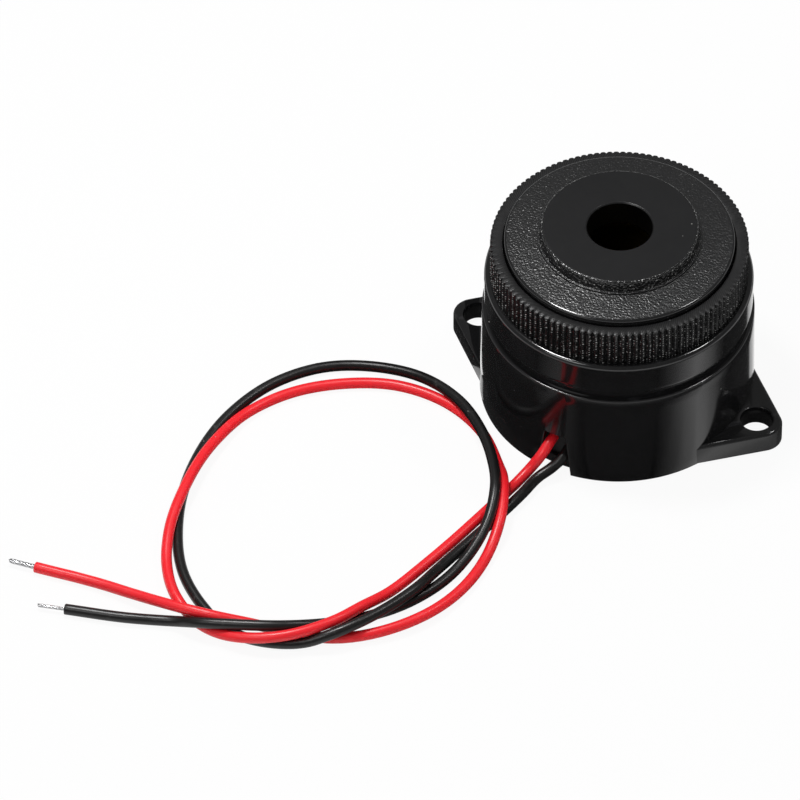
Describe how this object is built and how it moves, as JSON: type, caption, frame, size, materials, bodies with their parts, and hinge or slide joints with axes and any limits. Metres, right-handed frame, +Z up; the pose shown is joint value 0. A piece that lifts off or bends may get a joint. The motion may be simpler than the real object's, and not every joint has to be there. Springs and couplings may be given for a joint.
{
  "type": "piezo buzzer",
  "caption": "Round black piezo buzzer with a sound port in a raised boss, a knurled screw ring, flat fixing ears with screw holes, and loose red and black leads with bare tinned ends",
  "frame": {"origin": "centre of the case's foot, on the surface it stands on", "axes": "+Z up out of the foot through the sound port, +X along the ears from one screw hole to the other, -Y towards the notch that the leads leave by"},
  "size_m": [0.0655, 0.0742, 0.0243],
  "materials": {
    "case_black": "glossy moulded, faint cool cast",
    "cap_black": "glossy collar, coarse spark-eroded ring, satin boss face",
    "ring_black": "glossy moulded with a satin top face",
    "cover_black": "satin moulded",
    "red_pvc": "soft satin extruded insulation",
    "black_pvc": "soft satin extruded insulation, lightly scuffed",
    "tinned_copper": "tinned and twisted strands",
    "brass_plate": "rolled, dull",
    "piezo_ceramic": "silvered, matt",
    "silicone": "translucent white, soft sheen",
    "board_green": "solder mask on glass laminate",
    "ferrite": "sintered, matt",
    "copper_winding": "enamelled wire",
    "package_black": "moulded epoxy",
    "chip_grey": "glazed chip",
    "chip_tan": "fired ceramic",
    "solder": "bright tin",
    "wire_red": "thin extruded insulation",
    "wire_black": "thin extruded insulation",
    "hot_glue": "cloudy, soft sheen"
  },
  "bodies": {
    "root": {"case_body": "case_black", "front_cap": "cap_black", "ring_nut": "ring_black", "base_cover": "cover_black", "piezo_plate": "brass_plate", "piezo_ceramic": "piezo_ceramic", "silicone_ring": "silicone", "circuit_board": "board_green", "choke_core": "ferrite", "choke_winding": "copper_winding", "transistor": "package_black", "resistors": "chip_grey", "diode": "package_black", "capacitor": "chip_tan", "solder_joints": "solder", "plate_wire": "wire_red", "ceramic_wire": "wire_black", "lead_glue": "hot_glue", "red_lead": "red_pvc", "black_lead": "black_pvc", "red_lead_strands": "tinned_copper", "black_lead_strands": "tinned_copper"}
  },
  "joints": []
}
